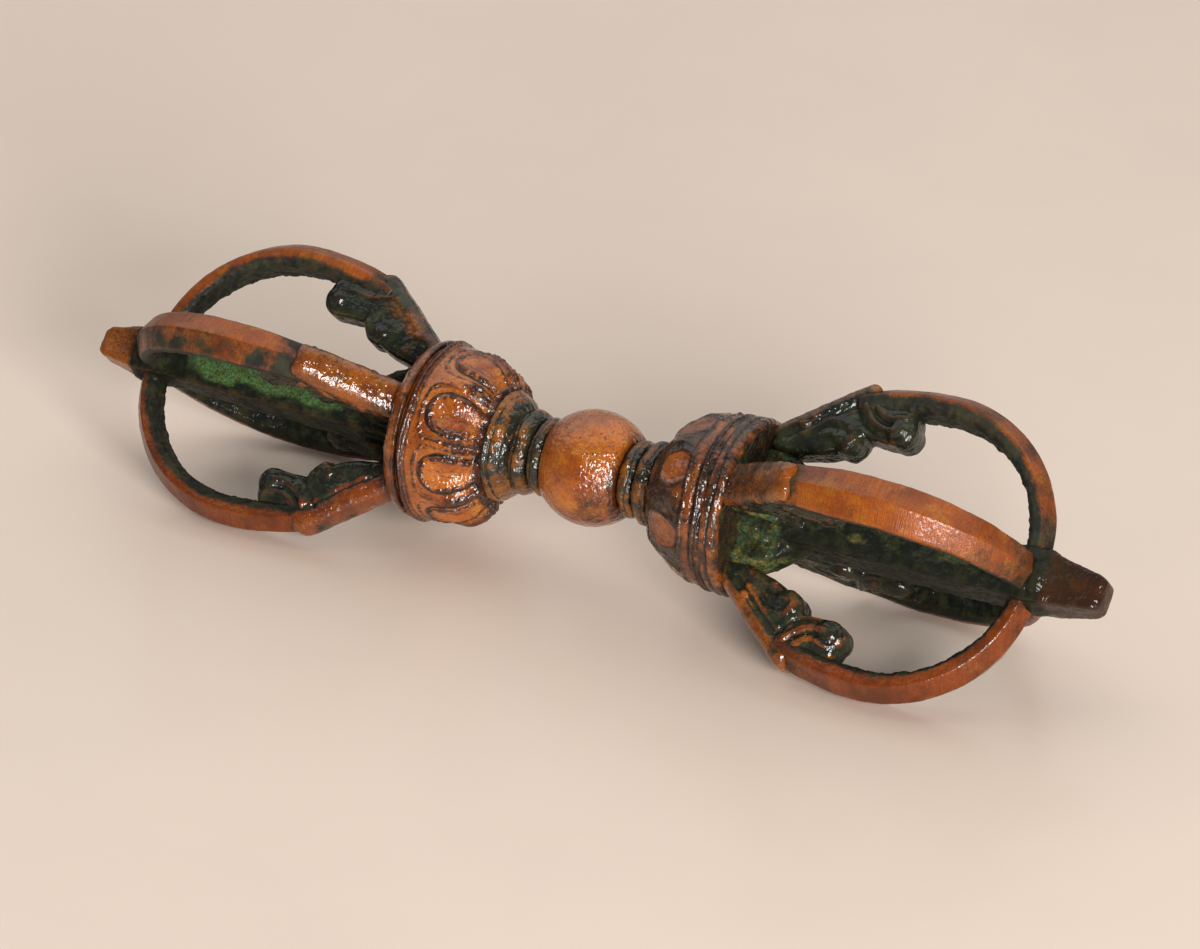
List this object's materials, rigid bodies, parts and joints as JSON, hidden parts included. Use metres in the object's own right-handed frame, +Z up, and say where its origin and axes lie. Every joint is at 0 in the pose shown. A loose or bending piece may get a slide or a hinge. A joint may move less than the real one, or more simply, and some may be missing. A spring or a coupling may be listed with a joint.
{
  "type": "dorje vajra",
  "caption": "Hand-held ritual dorje of dark copper: a ball hub, lotus cups, and at each end curved prongs in makara mouths around a square central prong.",
  "frame": {"origin": "on the surface it lies on, below the middle of the hub ball", "axes": "+X along the dorje towards the end with the larger cage, +Z up as it lies on its lower prongs"},
  "size_m": [0.14, 0.0308, 0.0308],
  "materials": {
    "polished_copper": "polished copper with dark patina in the hollows",
    "dark_copper": "dark lacquered copper",
    "green_patina": "black-green patina"
  },
  "bodies": {
    "root": {"hub_ball": "polished_copper", "ring_inner_left": "dark_copper", "ring_inner_right": "dark_copper", "ring_outer_left": "dark_copper", "ring_outer_right": "dark_copper", "collar_left": "dark_copper", "lotus_left": "polished_copper", "lotus_right": "polished_copper", "moon_disc_left": "dark_copper", "moon_disc_right": "dark_copper", "central_prong_left": "green_patina", "central_prong_right": "green_patina", "makara_left_upper_front": "green_patina", "makara_left_upper_back": "green_patina", "makara_left_lower_back": "green_patina", "makara_left_lower_front": "green_patina", "makara_right_upper_back": "green_patina", "makara_right_upper_front": "green_patina", "makara_right_lower_front": "green_patina", "makara_right_lower_back": "green_patina", "prong_left_upper_front": "polished_copper", "prong_left_upper_back": "polished_copper", "prong_left_lower_back": "polished_copper", "prong_left_lower_front": "polished_copper", "prong_right_upper_back": "polished_copper", "prong_right_upper_front": "polished_copper", "prong_right_lower_front": "polished_copper", "prong_right_lower_back": "polished_copper"}
  },
  "joints": []
}
